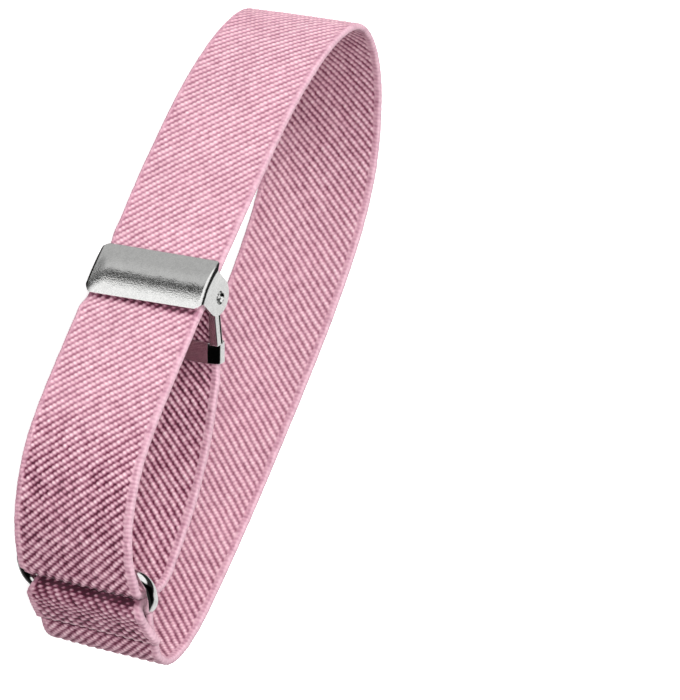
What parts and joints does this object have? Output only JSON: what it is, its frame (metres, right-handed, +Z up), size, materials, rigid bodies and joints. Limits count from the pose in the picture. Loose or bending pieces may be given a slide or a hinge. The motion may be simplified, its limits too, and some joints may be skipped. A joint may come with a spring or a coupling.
{
  "type": "shirt sleeve holder",
  "caption": "Elastic sleeve garter: one woven stretch band closed into an oval loop by a metal slide adjuster and a metal ring.",
  "frame": {"origin": "bottom centre of the bounding box, on the surface the loop rests on", "axes": "+Z up, across the band's width; +X along the loop towards the ring; -Y is the run that carries the adjuster"},
  "size_m": [0.1288, 0.0482, 0.0305],
  "materials": {
    "elastic": "woven twill elastic, matt",
    "satin_metal": "satin nickel plate",
    "polished_metal": "polished nickel plate"
  },
  "bodies": {
    "root": {"elastic_band": "elastic", "cover_plate": "satin_metal", "back_frame": "polished_metal", "pivot_pin": "polished_metal", "slide_ring": "polished_metal"}
  },
  "joints": []
}
